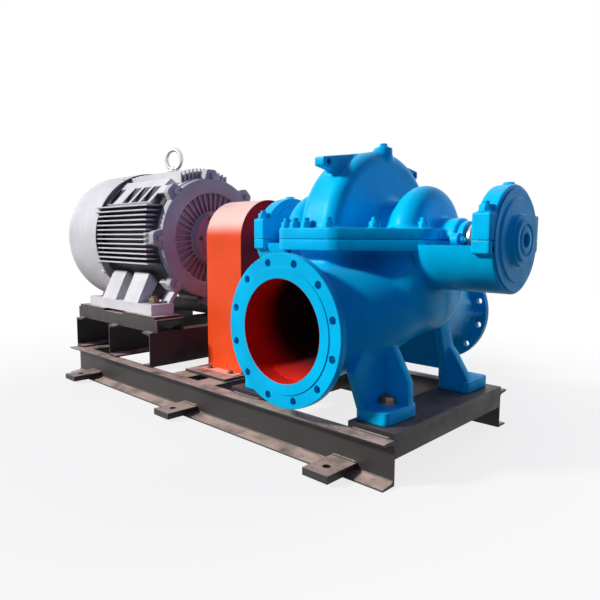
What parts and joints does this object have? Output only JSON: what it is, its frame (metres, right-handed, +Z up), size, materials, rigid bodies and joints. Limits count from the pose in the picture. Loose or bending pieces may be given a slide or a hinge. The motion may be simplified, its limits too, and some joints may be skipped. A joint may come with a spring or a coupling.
{
  "type": "split case pump",
  "caption": "Horizontal split case double suction pump with flanged suction and discharge, coupled to a finned electric motor under a guard on a steel channel base.",
  "frame": {"origin": "on the ground under the shaft axis, at the middle of the anchor bolt pattern", "axes": "+X along the shaft towards the pump's outer bearing, +Y towards the discharge flange, +Z up"},
  "size_m": [2.134, 0.95, 1.0635],
  "materials": {
    "base_paint": "satin black paint, dusty on top",
    "pump_paint": "glossy blue paint on cast iron",
    "motor_paint": "satin grey paint",
    "guard_paint": "semi-gloss orange paint",
    "zinc_steel": "zinc plated",
    "shaft_steel": "ground steel",
    "coupling_iron": "machined iron",
    "fan_plastic": "matte black"
  },
  "bodies": {
    "set": {"front_rail": "base_paint", "rear_rail": "base_paint", "pump_crossbeams": "base_paint", "guard_crossbeams": "base_paint", "motor_end_crossbeam": "base_paint", "front_anchor_lugs": "base_paint", "rear_anchor_lugs": "base_paint", "pump_sole_plates": "base_paint", "guard_floor_plate": "base_paint", "motor_riser_outer": "base_paint", "motor_riser_middle": "base_paint", "motor_riser_inner": "base_paint", "motor_beams": "base_paint", "motor_pads": "base_paint", "lower_casing": "pump_paint", "upper_casing": "pump_paint", "vent_plug": "zinc_steel", "drive_gland": "pump_paint", "outer_gland": "pump_paint", "drive_bearing_housing": "pump_paint", "outer_bearing_housing": "pump_paint", "drive_bearing_cap": "pump_paint", "outer_bearing_cap": "pump_paint", "drive_bearing_cover": "pump_paint", "outer_bearing_cover": "pump_paint", "coupling_guard": "guard_paint", "guard_end_plates": "guard_paint", "motor_frame": "motor_paint", "drive_end_shield": "motor_paint", "drive_end_hub": "motor_paint", "fan_end_shield": "motor_paint", "fan_cowl": "motor_paint", "motor_eyebolt": "zinc_steel", "terminal_box": "motor_paint", "terminal_box_lid": "motor_paint"},
    "rotor": {"pump_shaft": "shaft_steel", "pump_coupling_half": "coupling_iron", "motor_coupling_half": "coupling_iron", "coupling_pins": "shaft_steel", "cooling_fan": "fan_plastic", "motor_shaft": "shaft_steel"}
  },
  "joints": [
    {"name": "shaft_spin", "type": "hinge", "parent": "set", "child": "rotor", "pos_m": [0.574, 0, 0.645], "axis": [1, 0, 0], "continuous": true}
  ]
}
